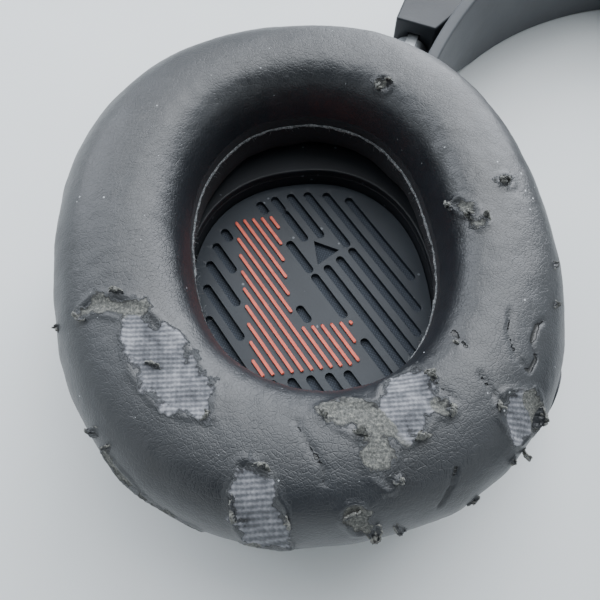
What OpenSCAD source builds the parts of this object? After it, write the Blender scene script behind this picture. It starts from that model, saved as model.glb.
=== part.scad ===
/* [Overall] */
// Distance between the two swivel axes, which is the distance between the cup centres
axis_spacing = 172; // [171:1:206]
// Height of the swivel and tilt axes above the table when the headset lies flat
axis_height = 15; // [14.5:0.25:15.5]
// Height of the headband's arc centre above the cup centres
band_centre = 60.5; // [58:0.5:68]

/* [Ear cushion] */
// Width of the cushion across its short axis
cushion_width = 94.5; // [92:0.5:102]
// Height of the cushion along its long axis
cushion_height = 106; // [104:0.5:115]
// Depth of the cushion from its mounting face to its crown
cushion_depth = 24.5; // [18:0.5:30]
// Width of the ear opening
opening_width = 46; // [38:0.5:48]
// Height of the ear opening
opening_height = 60; // [50:0.5:62]
// How far the ear opening sits towards the face
opening_shift_x = 2; // [0:0.1:2.5]
// How far the ear opening sits towards the headband
opening_shift_y = 2.4; // [0:0.1:3]
// Lean of the cup's long axis away from the swivel axis, as an ear leans
cup_slant = 29; // [22:1:34]

/* [Ear cup] */
// Depth of the cup from its outer face to the cushion
cup_depth = 26; // [26:0.5:28]
// How far the cup's side wall stands inside the cushion's outline
cup_inset = 5.5; // [5:0.1:6.2]
// Thickness of the cup's side wall
cup_wall = 2.4; // [2:0.1:2.8]
// Depth of the outer cover, which is the recess that the boom folds into
cover_depth = 9; // [8.8:0.1:9.4]
// How far the outer cover stands inside the cup's side wall
cover_inset = 6; // [5.8:0.1:6.4]
// Thickness of the outer cover
cover_wall = 2; // [1.6:0.1:2.2]
// Thickness of the trim ring between cover and cup
trim_thickness = 1.2; // [0.8:0.1:1.4]
// Thickness of the baffle and of its flange
baffle_thickness = 2; // [1.6:0.1:2.2]
// How far the baffle's tub and its grille sit towards the face
tub_shift_x = 1.4; // [0:0.1:2]
// How far the baffle's tub and its grille sit towards the headband
tub_shift_y = -1.2; // [-2:0.1:0]
// Thickness of the plate that the cushion is glued to
cushion_plate_thickness = 2; // [1.5:0.1:2.5]
// Depth of the grille plate below the cushion plate's top
grille_depth = 5; // [5:0.5:6]
// Thickness of the grille plate
grille_thickness = 1.5; // [1.2:0.1:2]

/* [Grille and side mark] */
// Distance between two grille slots
slot_pitch = 3.4; // [3:0.1:5]
// Width of a grille slot
slot_width = 1.8; // [1:0.1:2]
// Lean of the slots and of the side mark's bars
slot_lean = 26; // [10:1:45]
// Width of the letter L or R
mark_width = 21; // [16:0.5:22]
// Height of the letter L or R
mark_height = 36; // [28:0.5:37]
// Width of the letter's stroke
mark_stroke = 9; // [6:0.5:10]
// Distance between two bars of the letter
mark_pitch = 1.77; // [1.4:0.01:2.5]
// Width of one bar of the letter
mark_bar = 0.62; // [0.5:0.01:1]
// Height of the bars above the grille plate
mark_relief = 0.45; // [0.3:0.05:0.8]

/* [Speaker driver] */
// Diameter of the driver's frame
driver_diameter = 50; // [40:1:51]
// Diameter of the magnet
magnet_diameter = 26; // [20:1:30]
// Depth of the driver from its front to the back of its magnet
driver_depth = 10.5; // [9:0.1:10.8]

/* [Yoke and swivel] */
// Clear radius inside the yoke
yoke_radius = 51.2; // [51:0.1:56]
// Thickness of the yoke
yoke_thickness = 3.6; // [3:0.1:5]
// Width of the yoke
yoke_width = 6.4; // [5.6:0.1:6.6]
// Diameter of the tilt pins that hold the cup in the yoke
tilt_pin_diameter = 5; // [4:0.1:5.6]
// Diameter of the swivel pin
swivel_pin_diameter = 5; // [4:0.1:5.4]
// Diameter of the swivel knuckles
knuckle_diameter = 9; // [8.6:0.1:10]
// Radial clearance of every pin in its bore
pin_clearance = 0.05; // [0.02:0.01:0.09]
// Gap between the faces of two pieces that turn on each other
face_gap = 0.6; // [0.3:0.1:1]

/* [Size slider] */
// Distance from the cup centre to the end face of the slider housing
housing_end = 78.5; // [78:0.5:84]
// Thickness of the slider housing
housing_thickness = 10.4; // [9:0.1:12]
// Width of the slider housing
housing_width = 17; // [14:0.5:20]
// How far the slider bar reaches into its housing when it is fully in
slider_insertion = 26; // [24:0.5:28]
// Thickness of the slider bar
slider_thickness = 2.6; // [2:0.1:3]
// Width of the slider bar
slider_width = 9; // [7:0.5:10]
// Gap round the slider bar in its channel
slider_clearance = 0.15; // [0.1:0.01:0.3]

/* [Headband] */
// Width of the headband
band_width = 30; // [26:0.5:30]
// Radius of the headband's inner face
band_radius = 78; // [74:0.5:79]
// Thickness of the inner liner
liner_thickness = 3; // [2:0.1:3.2]
// Thickness of the spring strip
strip_thickness = 1; // [0.6:0.1:1.4]
// Width of the spring strip
strip_width = 18; // [12:0.5:20]
// Depth of the outer shell, from the liner to its outer face
shell_depth = 10; // [8:0.1:11]
// Thickness of the outer shell's walls
shell_wall = 2.2; // [1.8:0.1:3]
// Thickness of the head pad
pad_thickness = 10; // [6:0.5:14]
// Half the angle that the head pad covers
pad_half_angle = 28; // [20:1:34]

/* [Microphone boom] */
// Thickness of the boom across the recess that it folds into
boom_thickness = 4.6; // [3.5:0.1:4.8]
// Width of the boom
boom_width = 5.6; // [4.5:0.1:5.8]
// Angle round the cup that the boom and its foam cover
boom_sweep = 112; // [90:1:116]
// Angle round the cup that the foam covers
foam_sweep = 24; // [16:1:30]
// Diameter of the boom's hub
hub_diameter = 11; // [9:0.1:11.4]
// Diameter of the hub's pin
hub_pin_diameter = 4; // [3:0.1:4.4]

/* [Controls and ports] */
// Diameter of the volume and balance wheels
wheel_diameter = 12; // [10:0.1:13]
// Thickness of the wheels
wheel_thickness = 4; // [3:0.1:5]
// How far the wheels stand out of the cup's side
wheel_proud = 1.5; // [1:0.1:2]
// Diameter of the push buttons
button_diameter = 6; // [5:0.1:7]
// Travel of the push buttons
button_travel = 0.8; // [0.5:0.1:1]
// Travel of the power switch
switch_travel = 3; // [2:0.1:3.5]
// Diameter of the bore in the audio socket
jack_bore = 3.6; // [3.5:0.05:3.7]
// Depth of the bore in the audio socket
jack_depth = 14; // [12:0.1:14]

/* [Hidden] */

$fn = 48;
outline_points = 60;      // corners of every oval outline
oval_power = 2.3;         // how square the ovals are; 2 is an ellipse
section_points = 18;      // corners of the cushion's cross-section
cushion_roll = 13.5;        // height of the roll below the cushion's widest line, cut flat at its base
overshoot = 1;            // how far a cutting shape runs past the face that it cuts
shoulder_power = 0.62;    // how square the cushion's shoulder is towards the opening; 1 is round
soft_gap = 0.3;           // gap between a soft piece and a piece that moves past it

axis_x = axis_spacing / 2;
cushion_half = [cushion_width / 2, cushion_height / 2];
opening_half = [opening_width / 2, opening_height / 2];
ear_shift = [opening_shift_x, opening_shift_y];
cup_half = cushion_half - [cup_inset, cup_inset];
cup_inner = cup_half - [cup_wall, cup_wall];
cover_half = cup_half - [cover_inset, cover_inset];
cover_inner = cover_half - [cover_wall, cover_wall];
flange_half = cup_inner - [0.2, 0.2];
tub_half = opening_half + [3.6, 0.1];
tub_inner = tub_half - [1.6, 1.6];
plate_half = tub_inner - [0.2, 0.2];
floor_inner = cover_inner - [1, 1];
rim_z = cup_depth - cushion_plate_thickness;
grille_top = cup_depth - grille_depth;
tub_floor = grille_top - grille_thickness;
cloth_thickness = 0.3;
floor_z = cover_depth + cup_wall;

screw_radius = 1.25;
screw_head_radius = 2.2;
screw_head_height = 1.4;
post_radius = 2.6;
post_inset = cover_inner - [post_radius, post_radius];
screw_turns = [45, 135, 225, 315];

yoke_outer = yoke_radius + yoke_thickness;
tilt_boss_end = yoke_radius - face_gap;
tilt_boss_radius = tilt_pin_diameter / 2 + 2.8;
tilt_bore_depth = 8;
knuckle_end = yoke_outer + 8;
knuckle_start = knuckle_end + face_gap;
swivel_pin_top = housing_end - face_gap - 1;

outer_radius = band_radius + liner_thickness + shell_depth;
liner_outer = band_radius + liner_thickness;
housing_outer_x = axis_x + housing_thickness / 2;
housing_inner_x = axis_x - housing_thickness / 2;
housing_join = 48;        // angle up the arc at which the housing runs into the outer shell
shell_half_angle = 90 - housing_join;
liner_tip = housing_end - 13;

hub_turn = 256;           // place of the boom's hub round the cup
jack_turn = 282;          // place of the audio socket
usb_turn = 302;           // place of the charging port
wheel_turns = [189, 205.5]; // places of the two wheels
button_turn = 172;        // place of the push buttons
switch_turn = 212;        // place of the power switch
control_z = (floor_z + rim_z - baffle_thickness) / 2;
recess_middle = cup_half - [cover_inset / 2 - 0.2, cover_inset / 2 - 0.2];
hub_radius = hub_diameter / 2;
hub_path = cup_half - [hub_radius - 1, hub_radius - 1];
boom_z = cover_depth - trim_thickness - 0.4 - boom_width;

function power(v, p) = sign(v) * pow(abs(v), p);
// Point of an oval with half-axes h at the turn t
function oval_point(h, t) =
    [h[0] * power(cos(t), 2 / oval_power), h[1] * power(sin(t), 2 / oval_power)];
function oval(h, from = 0, to = 360, steps = outline_points) =
    [for (i = [0 : steps - (to - from == 360 ? 1 : 0)]) oval_point(h, from + (to - from) * i / steps)];
// Direction that the oval's side faces at the turn t
function oval_facing(h, t) =
    let (d = oval_point(h, t + 1) - oval_point(h, t - 1)) atan2(d[1], d[0]) - 90;
function arc(r, from, to, steps) =
    [for (i = [0 : steps]) r * [cos(from + (to - from) * i / steps), sin(from + (to - from) * i / steps)]];
function reversed(list) = [for (i = [len(list) - 1 : -1 : 0]) list[i]];

cushion_low = min([for (p = oval(cushion_half, 0, 360, 360))
    p[0] * sin(cup_slant) + p[1] * cos(cup_slant)]);
origin_shift = -(cushion_low + band_centre + outer_radius) / 2;

// Puts the whole headset on its origin
module placed() {
    translate([0, origin_shift, 0]) children();
}

// Frame of a cup: side is -1 for the left, 1 for the right; +Y is the cup's long axis
module in_cup(side) {
    placed() translate([side * axis_x, 0, 0]) rotate(-side * cup_slant) children();
}

// Frame of the tub in the baffle, which holds the grille and the driver
module in_tub(side) {
    in_cup(side) translate([-side * tub_shift_x, tub_shift_y, 0]) children();
}

// Frame of a swivel axis, before the cup's slant
module on_axis(side) {
    placed() translate([side * axis_x, 0, axis_height]) children();
}

// Frame of the headband's arc
module in_band() {
    placed() translate([0, band_centre, 0]) children();
}

// Frame on the outside of the cup's wall at the turn t, with +X pointing out
module at_rim(side, t, h = cup_half) {
    in_cup(side) mirror([side > 0 ? 1 : 0, 0, 0])
        translate(oval_point(h, t)) rotate(oval_facing(h, t)) children();
}

// Oval prism from the height z over the height h
module oval_prism(half, z, h) {
    translate([0, 0, z]) linear_extrude(h) polygon(oval(half));
}

module band_sector(r0, r1, z0, z1, half_angle) {
    rotate([0, 0, 90 - half_angle]) rotate_extrude(angle = 2 * half_angle)
        translate([r0, z0]) square([r1 - r0, z1 - z0]);
}

module rod_x(r, x0, x1) {
    translate([x0, 0, 0]) rotate([0, 90, 0]) cylinder(r = r, h = x1 - x0);
}

module rod_y(r, y0, y1) {
    translate([0, y0, 0]) rotate([-90, 0, 0]) cylinder(r = r, h = y1 - y0);
}

// ---- Headband ----

module band_outer_shell() {
    color("#2b2e33") in_band() difference() {
        band_sector(liner_outer, outer_radius, 0, band_width, shell_half_angle);
        translate([0, 0, shell_wall])
            band_sector(liner_outer - overshoot, outer_radius - shell_wall, 0,
                        band_width - 2 * shell_wall, shell_half_angle - 2);
    }
}

module band_spring_strip() {
    color("#b9bcc0") difference() {
        in_band() translate([0, 0, (band_width - strip_width) / 2])
            band_sector(liner_outer, liner_outer + strip_thickness, 0, strip_width, shell_half_angle - 4);
        band_screw_rods(0, screw_radius);
    }
}

// Height at which the liner has its full width
liner_full = liner_tip + 28;

module band_inner_liner() {
    middle = band_width / 2;
    tip_half = band_width / 4;
    top = band_centre + outer_radius;
    color("#3a3d42") difference() {
        placed() intersection() {
            translate([0, band_centre, 0]) band_sector(band_radius, liner_outer, 0, band_width, 89);
            rotate([90, 0, 90]) translate([0, 0, -axis_spacing]) linear_extrude(2 * axis_spacing)
                polygon([[liner_tip, middle - tip_half], [liner_full, 0], [top, 0],
                         [top, band_width], [liner_full, band_width], [liner_tip, middle + tip_half]]);
        }
        band_screw_rods(-overshoot, screw_radius);
    }
}

module head_pad() {
    color("#26282c") in_band() translate([0, 0, 1])
        band_sector(band_radius - pad_thickness, band_radius, 0, band_width - 2, pad_half_angle);
}

// Outline of the housing: straight down its outer side, then along the liner on its inner side
function housing_outline() =
    let (r = liner_outer + soft_gap,
         low = asin((housing_end - band_centre) / r),
         join = [-outer_radius * cos(housing_join), band_centre + outer_radius * sin(housing_join)])
    concat([[-housing_inner_x, housing_end], [-housing_outer_x, housing_end]],
           [for (p = arc(12, 180, 180 - housing_join + 8, 8))
               p + [12 - housing_outer_x, housing_end + slider_insertion - 8]],
           [join],
           [for (p = arc(r, 180 - housing_join, 180 - low - 8, 14)) p + [0, band_centre]]);

module slider_housing(side) {
    channel = [slider_thickness + 2 * slider_clearance, slider_insertion + 1.5,
               slider_width + 2 * slider_clearance];
    color("#33363b") placed() mirror([side > 0 ? 1 : 0, 0, 0]) difference() {
        translate([0, 0, axis_height - housing_width / 2])
            linear_extrude(housing_width) polygon(housing_outline());
        translate([-axis_x - channel[0] / 2, housing_end - overshoot, axis_height - channel[2] / 2])
            cube([channel[0], channel[1] + overshoot, channel[2]]);
    }
}

// Rods through the liner at the four band screws, from the height z0 above its inner face
module band_screw_rods(z0, r) {
    length = 4;
    in_band() for (turn = [-1, 1], z = [0.3, 0.7])
        rotate(90 + turn * (pad_half_angle + 6)) translate([0, 0, z * band_width])
            rod_x(r, band_radius + z0, band_radius + 0.4 + length);
}

module band_screws() {
    color("#8f9296") band_screw_rods(0.4, screw_radius);
}

// ---- Size slider, swivel and yoke ----

module slider_bar(side) {
    color("#a9acb0") on_axis(side) difference() {
        union() {
            translate([-slider_thickness / 2, knuckle_start + 2, -slider_width / 2])
                cube([slider_thickness, housing_end + slider_insertion - knuckle_start - 2, slider_width]);
            rod_y(knuckle_diameter / 2, knuckle_start, swivel_pin_top + 0.8);
        }
        rod_y(swivel_pin_diameter / 2, knuckle_start - overshoot, swivel_pin_top);
    }
}

module swivel_pin(side) {
    color("#c6c8cb") on_axis(side)
        rod_y(swivel_pin_diameter / 2, yoke_outer - yoke_thickness + 1.2, swivel_pin_top);
}

module yoke(side) {
    eye = tilt_boss_radius;
    color("#303338") on_axis(side) difference() {
        union() {
            translate([0, 0, -yoke_width / 2]) rotate_extrude(angle = 180)
                translate([yoke_radius, 0]) square([yoke_thickness, yoke_width]);
            for (x = [-yoke_outer, yoke_radius]) rod_x(eye, x, x + yoke_thickness);
            rod_y(knuckle_diameter / 2, yoke_radius + 1, knuckle_end);
        }
        rod_x(tilt_pin_diameter / 2, -yoke_outer - overshoot, yoke_outer + overshoot);
        rod_y(swivel_pin_diameter / 2 + pin_clearance, yoke_radius - overshoot, knuckle_end + overshoot);
    }
}

module tilt_pins(side) {
    color("#c6c8cb") on_axis(side) for (end = [-1, 1]) mirror([end < 0 ? 1 : 0, 0, 0])
        rod_x(tilt_pin_diameter / 2, tilt_boss_end - tilt_bore_depth + 1, yoke_outer);
}

// ---- Ear cup ----

// Children at each of the four screws of a cup
module at_cup_screws(side) {
    in_cup(side) for (t = screw_turns) translate(oval_point(post_inset, t)) children();
}

module cup_shell(side) {
    color("#2d3035") difference() {
        union() {
            difference() {
                in_cup(side) oval_prism(cup_half, cover_depth, rim_z - cover_depth);
                in_cup(side) oval_prism(cup_inner, floor_z, rim_z);
                in_cup(side) oval_prism(floor_inner, 0, rim_z);
            }
            at_cup_screws(side) translate([0, 0, floor_z - cup_wall])
                cylinder(r = post_radius, h = rim_z - baffle_thickness - cover_depth);
            intersection() {
                on_axis(side) for (end = [-1, 1]) mirror([end < 0 ? 1 : 0, 0, 0])
                    rod_x(tilt_boss_radius, tilt_boss_end - tilt_bore_depth - 2, tilt_boss_end);
                in_cup(side) translate([-axis_x, -axis_x, cover_depth])
                    cube([2 * axis_x, 2 * axis_x, rim_z - baffle_thickness - cover_depth - soft_gap]);
            }
            if (side < 0) at_rim(side, hub_turn, hub_path) translate([0, 0, cover_depth])
                cylinder(r = hub_pin_diameter / 2 + 2, h = cup_wall + 5);
            control_posts(side);
        }
        on_axis(side) for (end = [-1, 1]) mirror([end < 0 ? 1 : 0, 0, 0])
            rod_x(tilt_pin_diameter / 2 + pin_clearance, tilt_boss_end - tilt_bore_depth,
                  tilt_boss_end + overshoot);
        at_cup_screws(side) cylinder(r = screw_radius, h = cup_depth);
        if (side < 0) left_shell_openings();
        else right_shell_openings();
    }
}

// Distance from the cup's outer side to a wheel's axis
wheel_inset = wheel_diameter / 2 - wheel_proud;
shaft_radius = 1;

module control_posts(side) {
    if (side < 0) for (t = wheel_turns) at_rim(side, t) translate([-wheel_inset, 0, cover_depth])
        cylinder(r = 2.4, h = control_z - wheel_thickness / 2 - face_gap / 2 - cover_depth);
}

module left_shell_openings() {
    at_rim(-1, hub_turn, hub_path)
        cylinder(r = hub_pin_diameter / 2 + pin_clearance, h = floor_z + 4);
    for (t = wheel_turns) at_rim(-1, t) {
        translate([-wheel_inset, 0, cover_depth + 0.4]) cylinder(r = shaft_radius, h = cup_depth);
        translate([-wheel_inset, -wheel_diameter / 2 - face_gap, control_z - wheel_thickness / 2 - 0.4])
            cube([wheel_inset + overshoot, wheel_diameter + 2 * face_gap, wheel_thickness + 0.8]);
    }
    at_rim(-1, button_turn) translate([0, 0, control_z])
        rod_x(button_diameter / 2 + 0.1, -cup_wall - 2, overshoot);
    at_rim(-1, jack_turn) translate([0, 0, control_z]) rod_x(jack_radius, -cup_wall - 2, overshoot);
    at_rim(-1, usb_turn) usb_block(-cup_wall - 2, overshoot);
}

module right_shell_openings() {
    at_rim(1, button_turn) translate([0, 0, control_z])
        rod_x(button_diameter / 2 + 0.1, -cup_wall - 2, overshoot);
    at_rim(1, switch_turn) translate([-cup_wall - 2, -switch_slot[0] / 2, control_z - switch_slot[1] / 2])
        cube([cup_wall + 2 + overshoot, switch_slot[0], switch_slot[1]]);
}

module outer_cover(side) {
    top = cover_depth - trim_thickness;
    chamfer = 1.5;
    color("#25272b") difference() {
        union() {
            difference() {
                in_cup(side) union() {
                    oval_prism(cover_half, chamfer, top - chamfer);
                    oval_prism(cover_half - [chamfer, chamfer], 0, top);
                }
                in_cup(side) oval_prism(cover_inner, cover_wall, cover_depth);
            }
            at_cup_screws(side) cylinder(r = post_radius, h = top);
            if (side < 0) intersection() {
                at_rim(side, hub_turn, hub_path) cylinder(r = hub_radius + 2.4, h = top);
                in_cup(side) oval_prism(cover_half, 0, top);
            }
            at_board(side) board_posts() cylinder(r = 1.6, h = board_z);
        }
        at_cup_screws(side) translate([0, 0, cover_wall + 0.4]) cylinder(r = screw_radius, h = cup_depth);
        if (side < 0) at_rim(side, hub_turn, hub_path) translate([0, 0, -overshoot])
            cylinder(r = hub_radius + 0.5, h = cover_depth + overshoot);
    }
}

module trim_ring(side) {
    color("#8b1f1a") difference() {
        in_cup(side) oval_prism(cover_half, cover_depth - trim_thickness, trim_thickness);
        in_cup(side) oval_prism(cover_inner, 0, cup_depth);
        at_cup_screws(side) cylinder(r = post_radius + 0.2, h = cup_depth);
        if (side < 0) at_rim(side, hub_turn, hub_path) cylinder(r = hub_radius + 0.5, h = cup_depth);
    }
}

module baffle(side) {
    color("#1f2126") difference() {
        union() {
            in_cup(side) oval_prism(flange_half, rim_z - baffle_thickness, baffle_thickness);
            in_tub(side) oval_prism(tub_half, tub_floor - baffle_thickness,
                                    rim_z - tub_floor + baffle_thickness);
        }
        in_tub(side) oval_prism(tub_inner, tub_floor, cup_depth);
        in_tub(side) cylinder(r = driver_diameter / 2 - 4, h = cup_depth);
        at_cup_screws(side) cylinder(r = screw_radius + 0.2, h = cup_depth);
        at_cup_screws(side) translate([0, 0, rim_z - screw_head_height])
            cylinder(r = screw_head_radius + 0.2, h = cup_depth);
    }
}

module cup_screws(side) {
    color("#55585c") at_cup_screws(side) {
        translate([0, 0, rim_z - screw_head_height]) cylinder(r = screw_head_radius, h = screw_head_height - 0.1);
        translate([0, 0, cover_wall + 1]) cylinder(r = screw_radius, h = rim_z - screw_head_height - cover_wall - 1);
    }
}

module cushion_plate(side) {
    color("#1b1d20") difference() {
        in_cup(side) oval_prism(cup_half, rim_z, cushion_plate_thickness);
        in_tub(side) oval_prism(tub_inner, 0, cup_depth + overshoot);
    }
}

// Ring cushion: a roll between the outline and the opening, cut flat at its base. It is round
// outside, has a squarer shoulder towards the opening, and falls straight from its narrowest line.
module ear_cushion(side) {
    middle = cup_depth + cushion_depth / 2;
    function section(j) =
        let (t = 360 * j / section_points, p = t > 90 && t < 180 ? shoulder_power : 1,
             inward = t > 180 && t < 270 ? 1 : (1 - power(cos(t), p)) / 2,
             drop = sin(t) > 0 ? cushion_depth / 2 : cushion_roll)
        [inward, max(cup_depth, middle + drop * power(sin(t), p))];
    points = [for (j = [0 : section_points - 1], i = [0 : outline_points - 1])
        let (s = section(j), t = 360 * i / outline_points,
             p = oval_point(cushion_half, t) * (1 - s[0])
                 + (oval_point(opening_half, t) + [-side * ear_shift[0], ear_shift[1]]) * s[0])
        [p[0], p[1], s[1]]];
    faces = [for (j = [0 : section_points - 1], i = [0 : outline_points - 1])
        let (j2 = (j + 1) % section_points, i2 = (i + 1) % outline_points, n = outline_points)
        [j * n + i, j2 * n + i, j2 * n + i2, j * n + i2]];
    color("#3f4348") in_cup(side) polyhedron(points, faces, convexity = 6);
}

// ---- Grille plate and side mark ----

// Lines that lean like the slots, cut to the region given as children, with round ends
module leaning_bars(lean, pitch, width, reach) {
    offset(r = width / 2, $fn = 12) intersection() {
        rotate(lean) for (i = [-ceil(reach / pitch) : ceil(reach / pitch)])
            translate([i * pitch, 0]) square([0.02, 2 * reach], center = true);
        children();
    }
}

module letter_l() {
    square([mark_stroke, mark_height]);
    square([mark_width, mark_stroke]);
}

module letter_r() {
    difference() {
        union() {
            square([mark_stroke, mark_height]);
            translate([0, mark_height / 2 - 3]) square([mark_width, mark_height / 2 + 3]);
            polygon([[mark_stroke - 1, mark_height / 2], [mark_width - mark_stroke, 0],
                     [mark_width, 0], [mark_width - 3, mark_height / 2]]);
        }
        translate([mark_stroke, mark_height / 2 + 4])
            square([mark_width - 2 * mark_stroke + 2, mark_height / 2 - 10]);
    }
}

mark_shift = [-3.2, 2.4]; // offset of the L from the middle of the grille

// The letter, placed on the plate
module side_letter(side) {
    translate([(side > 0 ? 0 : mark_shift[0]) - mark_width / 2, mark_shift[1] - mark_height / 2]) {
        if (side < 0) letter_l();
        else letter_r();
    }
}

// Small window over the wear sensor, beside the letter
module sensor_window() {
    translate([4.2, 10.5]) circle(r = 3.4, $fn = 3);
}

// Thin cloth under the grille
module acoustic_cloth(side) {
    color("#17191d") in_tub(side) oval_prism(plate_half, tub_floor, cloth_thickness);
}

module grille_plate(side) {
    rib = 2.4;
    color("#2f333a") in_tub(side) translate([0, 0, tub_floor + cloth_thickness])
        linear_extrude(grille_thickness - cloth_thickness)
        difference() {
            polygon(oval(plate_half));
            leaning_bars(-side * slot_lean, slot_pitch, slot_width, plate_half[1]) difference() {
                polygon(oval(plate_half - [3, 3]));
                offset(delta = 2) side_letter(side);
                rotate(-side * (slot_lean - 90)) square([2 * plate_half[1], 2 * rib], center = true);
                offset(delta = 2) mirror([side > 0 ? 1 : 0, 0]) sensor_window();
            }
            mirror([side > 0 ? 1 : 0, 0]) sensor_window();
        }
}

module side_mark(side) {
    color("#f0735f") in_tub(side) translate([0, 0, grille_top]) linear_extrude(mark_relief)
        leaning_bars(slot_lean, mark_pitch, mark_bar, mark_height) side_letter(side);
}

// ---- Speaker driver ----

driver_top = tub_floor - baffle_thickness;

module driver_frame(side) {
    r = driver_diameter / 2;
    m = magnet_diameter / 2;
    color("#1c1e22") in_tub(side) translate([0, 0, driver_top - driver_depth]) rotate_extrude()
        polygon([[m, 2.5], [m + 2, 2.5], [r, driver_depth - 3], [r, driver_depth],
                 [r - 4, driver_depth], [r - 4, driver_depth - 1.5], [m, 4.5]]);
}

module driver_magnet(side) {
    color("#9a9da1") in_tub(side) translate([0, 0, driver_top - driver_depth])
        cylinder(r = magnet_diameter / 2, h = 5);
}

module diaphragm(side) {
    r = driver_diameter / 2 - 4;
    low = driver_depth - 1.4;
    color("#c9c2ae") in_tub(side) translate([0, 0, driver_top - driver_depth]) rotate_extrude()
        polygon(concat([[0, low - 0.9], [r / 2, low - 1], [r, low - 1.2 + 1.1], [r, low + 0.3], [r - 1, low + 0.3],
                        [r / 2 + 1, low - 0.5]],
                       [for (t = [15 : 15 : 90]) [r / 2 * cos(t), low - 0.5 + 1.7 * sin(t)]]));
}

// ---- Electronics ----

board_size = [30, 22, 1.2];
board_z = cover_wall + 0.6;

module at_board(side) {
    in_cup(side) translate([0, 0, 0]) children();
}

module board_posts() {
    for (x = [-1, 1], y = [-1, 1])
        translate([x * (board_size[0] / 2 - 2.5), y * (board_size[1] / 2 - 2.5), 0]) children();
}

module circuit_board(side, chips) {
    color("#1f5a3a") at_board(side) translate([0, 0, board_z]) {
        translate([-board_size[0] / 2, -board_size[1] / 2, 0]) cube(board_size);
        for (c = chips) translate([c[0], c[1], board_size[2] - 0.2]) cube([c[2], c[3], 0.9]);
    }
}

module main_circuit_board() {
    circuit_board(-1, [[-10, -6, 7, 7], [2, -4, 9, 6], [-4, 4, 4, 4]]);
}

module radio_circuit_board() {
    circuit_board(1, [[-9, -4, 6, 6], [3, -6, 6, 10]]);
}

module battery() {
    size = [34, 11, 3.2];
    color("#3d6f9e") in_cup(1) translate([-size[0] / 2, board_size[1] / 2 + 2, cover_wall]) cube(size);
}

usb_size = [9.2, 3.4];
usb_depth = 7;

module usb_block(x0, x1, wall = 0) {
    translate([x0, -usb_size[0] / 2 + wall, control_z - usb_size[1] / 2 + wall])
        cube([x1 - x0, usb_size[0] - 2 * wall, usb_size[1] - 2 * wall]);
}

module usb_port() {
    color("#a3a6aa") at_rim(-1, usb_turn) difference() {
        usb_block(-usb_depth - 1, -0.4);
        usb_block(-usb_depth, overshoot, 0.45);
    }
}

jack_radius = 3.4;

module audio_socket() {
    color("#17181b") at_rim(-1, jack_turn) translate([0, 0, control_z]) difference() {
        rod_x(jack_radius, -jack_depth - 0.9, 0);
        rod_x(jack_bore / 2, -jack_depth, overshoot);
    }
}

// ---- Controls ----

module control_wheel(t) {
    grooves = 28;
    color("#3b3e43") at_rim(-1, t) translate([-wheel_inset, 0, control_z - wheel_thickness / 2])
        difference() {
            cylinder(r = wheel_diameter / 2, h = wheel_thickness);
            translate([0, 0, -overshoot]) cylinder(r = shaft_radius + pin_clearance, h = wheel_thickness + 2);
            for (i = [0 : grooves - 1]) rotate(360 * i / grooves)
                translate([wheel_diameter / 2 - 0.35, -0.35, -overshoot]) cube([1, 0.7, wheel_thickness + 2]);
        }
}

module volume_wheel() {
    control_wheel(wheel_turns[0]);
}

module balance_wheel() {
    control_wheel(wheel_turns[1]);
}

module wheel_shafts() {
    color("#c6c8cb") for (t = wheel_turns) at_rim(-1, t)
        translate([-wheel_inset, 0, cover_depth + 0.4])
            cylinder(r = shaft_radius, h = control_z + wheel_thickness / 2 + 0.6 - cover_depth);
}

module push_button(side) {
    color("#44474c") at_rim(side, button_turn) translate([0, 0, control_z]) {
        rod_x(button_diameter / 2, -cup_wall - 1.2, 1.2);
        rod_x(button_diameter / 2 + 0.8, -cup_wall - 2.4, -cup_wall - 1.2);
    }
}

module mute_button() {
    push_button(-1);
}

module pairing_button() {
    push_button(1);
}

switch_knob = [7, 3.6];
switch_slot = [switch_knob[0] + 0.6, switch_knob[1] + switch_travel + 0.6];

module power_switch() {
    low = control_z - switch_slot[1] / 2 + 0.3;
    color("#44474c") at_rim(1, switch_turn) {
        translate([-cup_wall - 0.9, -switch_knob[0] / 2, low])
            cube([cup_wall + 2, switch_knob[0], switch_knob[1]]);
        translate([-cup_wall - 1.8, -switch_knob[0] / 2 - 1, low])
            cube([1, switch_knob[0] + 2, switch_knob[1]]);
    }
}

// ---- Microphone boom ----

// Strip that follows the cup's side round part of the recess, turns counted from the hub
module recess_strip(thickness, z, height, from, to) {
    out = recess_middle + [thickness / 2, thickness / 2];
    inside = recess_middle - [thickness / 2, thickness / 2];
    in_cup(-1) translate([0, 0, z]) linear_extrude(height)
        polygon(concat(oval(out, hub_turn + from, hub_turn + to, 22),
                       reversed(oval(inside, hub_turn + from, hub_turn + to, 22))));
}

hub_turn_end = 5;         // angle at which the boom leaves the hub
boom_end = boom_sweep - foam_sweep + 6;

module mic_hub() {
    color("#2b2e33") at_rim(-1, hub_turn, hub_path) {
        translate([0, 0, boom_z - 0.4]) cylinder(r = hub_radius, h = cover_depth - boom_z);
        cylinder_pin_z = cover_depth - 0.5;
        translate([0, 0, cylinder_pin_z]) cylinder(r = hub_pin_diameter / 2, h = cup_wall + 3);
    }
}

module mic_boom() {
    color("#1d1f23") difference() {
        recess_strip(boom_thickness, boom_z, boom_width, hub_turn_end, boom_end);
        at_rim(-1, hub_turn, hub_path) cylinder(r = hub_radius, h = cover_depth);
    }
}

module mic_capsule() {
    color("#9a9da1") recess_strip(3, boom_z + boom_width / 2 - 1.5, 3, boom_end, boom_end + 6);
}

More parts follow.
